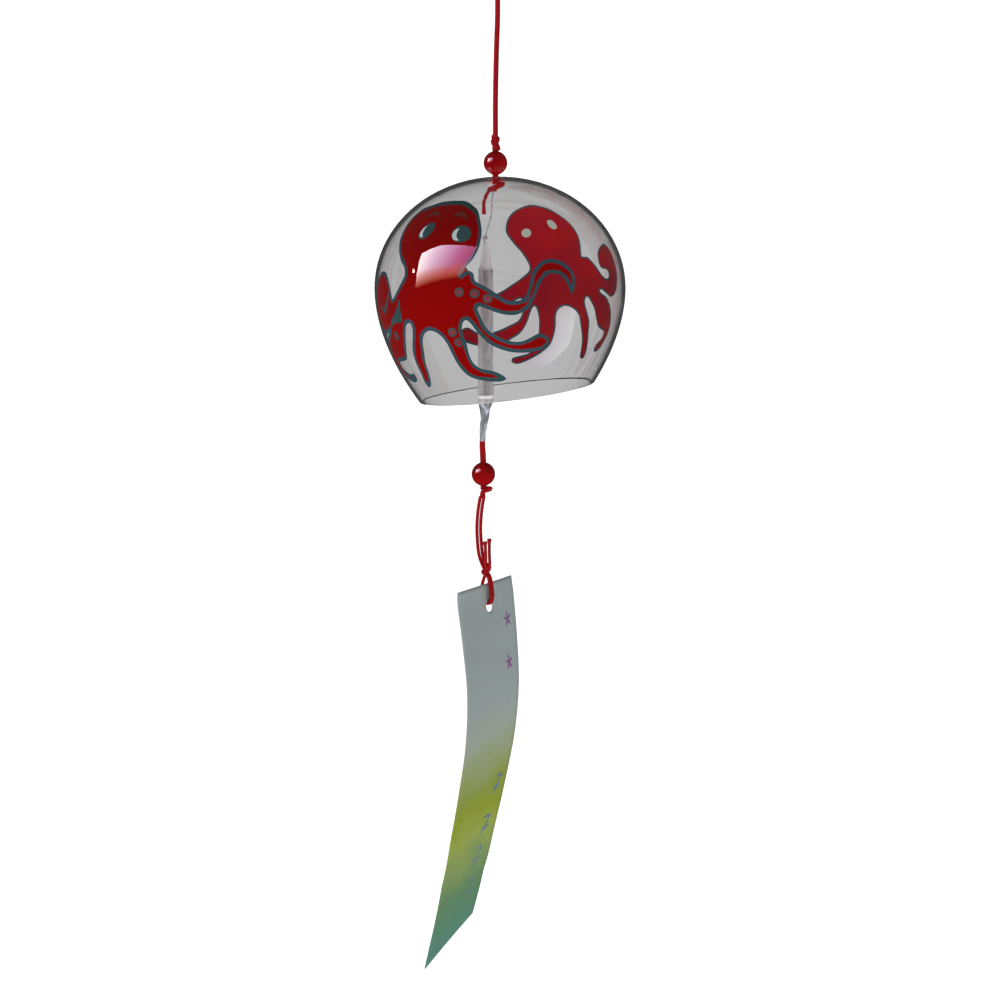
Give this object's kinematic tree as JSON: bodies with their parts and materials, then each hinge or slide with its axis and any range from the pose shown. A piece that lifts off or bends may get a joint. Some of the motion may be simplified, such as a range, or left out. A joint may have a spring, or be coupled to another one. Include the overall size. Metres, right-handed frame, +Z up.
{
  "type": "glass wind chime",
  "caption": "Blown-glass wind chime with painted octopuses, red beads, a wrapped glass tube as clapper and a curled paper strip, hung on a doubled red cord.",
  "frame": {"origin": "inside top of the hanging loop, where a hook bears", "axes": "+Z up along the cord, +X to the right of the printed front, +Y away from the front"},
  "size_m": [0.0805, 0.0804, 0.3321],
  "materials": {
    "cord": "round braided cord, dark red, matt",
    "bead": "polished opaque red glass",
    "bell_glass": "free-blown clear glass, painted on the inside with red octopuses in dark green outline",
    "tube_glass": "drawn clear glass tube",
    "film": "thin translucent wrapping film, twisted at its ends",
    "nylon": "clear nylon line",
    "paper": "printed paper strip, grey-white to yellow to green, matt"
  },
  "bodies": {
    "loop": {"hanging_loop": "cord"},
    "loop_neck": {"loop_knot": "cord"},
    "upper_cord": {"upper_cord_left": "cord", "upper_cord_right": "cord"},
    "crown": {"top_knot": "cord", "crown_cord": "cord", "inner_knot": "cord", "inner_knot_tail": "cord"},
    "top_bead": {"top_bead": "bead"},
    "bell": {"glass_bell": "bell_glass"},
    "clapper_line": {"clapper_line": "nylon"},
    "clapper": {"line_knot": "nylon", "clapper_wrap": "film", "clapper_tube": "tube_glass", "tube_cord": "cord"},
    "lower_cord": {"lower_cord": "cord"},
    "lower_bead": {"lower_bead": "bead"},
    "bead_knot": {"bead_knot": "cord"},
    "strip_cords": {"strip_cord_left": "cord", "strip_cord_right": "cord", "tie_knot": "cord", "tail_left": "cord", "tail_right": "cord", "strip_loop": "cord"},
    "paper_strip": {"paper_strip": "paper"}
  },
  "joints": [
    {"name": "chime_swing_side", "type": "hinge", "parent": "loop", "child": "loop_neck", "pos_m": [0, 0, -0.01445], "axis": [0, -1, 0], "range_deg": [-25, 25]},
    {"name": "chime_swing_fore_aft", "type": "hinge", "parent": "loop_neck", "child": "upper_cord", "pos_m": [0, 0, -0.0184], "axis": [1, 0, 0], "range_deg": [-25, 25]},
    {"name": "chime_turn", "type": "hinge", "parent": "upper_cord", "child": "crown", "pos_m": [-0.0007, 0, -0.0617], "axis": [0, 0, 1], "continuous": true},
    {"name": "top_bead_spin", "type": "hinge", "parent": "crown", "child": "top_bead", "pos_m": [-0.0007, 0, -0.0706], "axis": [0, 0, 1], "continuous": true},
    {"name": "bell_rock", "type": "hinge", "parent": "crown", "child": "bell", "pos_m": [-0.0007, 0, -0.0756], "axis": [0, -1, 0], "range_deg": [-2, 2]},
    {"name": "clapper_swing_side", "type": "hinge", "parent": "crown", "child": "clapper_line", "pos_m": [-0.0017, 0.0004, -0.0803], "axis": [0, -1, 0], "range_deg": [-10, 17]},
    {"name": "clapper_swing_fore_aft", "type": "hinge", "parent": "clapper_line", "child": "clapper", "pos_m": [-0.00395, 0, -0.0935], "axis": [1, 0, 0], "range_deg": [-14, 14]},
    {"name": "lower_cord_swing", "type": "hinge", "parent": "clapper", "child": "lower_cord", "pos_m": [-0.0049, 0, -0.16005], "axis": [1, 0, 0], "range_deg": [-40, 40]},
    {"name": "lower_bead_slide", "type": "slide", "parent": "lower_cord", "child": "lower_bead", "axis": [0, 0, 1], "range_m": [0, 0.0055]},
    {"name": "strip_turn", "type": "hinge", "parent": "lower_cord", "child": "bead_knot", "pos_m": [-0.0041, 0, -0.1764], "axis": [0, 0, 1], "continuous": true},
    {"name": "strip_cord_swing", "type": "hinge", "parent": "bead_knot", "child": "strip_cords", "pos_m": [-0.005, 0.0003, -0.1782], "axis": [0, -1, 0], "range_deg": [-40, 40]},
    {"name": "paper_swing", "type": "hinge", "parent": "strip_cords", "child": "paper_strip", "pos_m": [-0.0033, 0, -0.2119], "axis": [0.6018, 0.7986, 0], "range_deg": [-12, 12]}
  ]
}
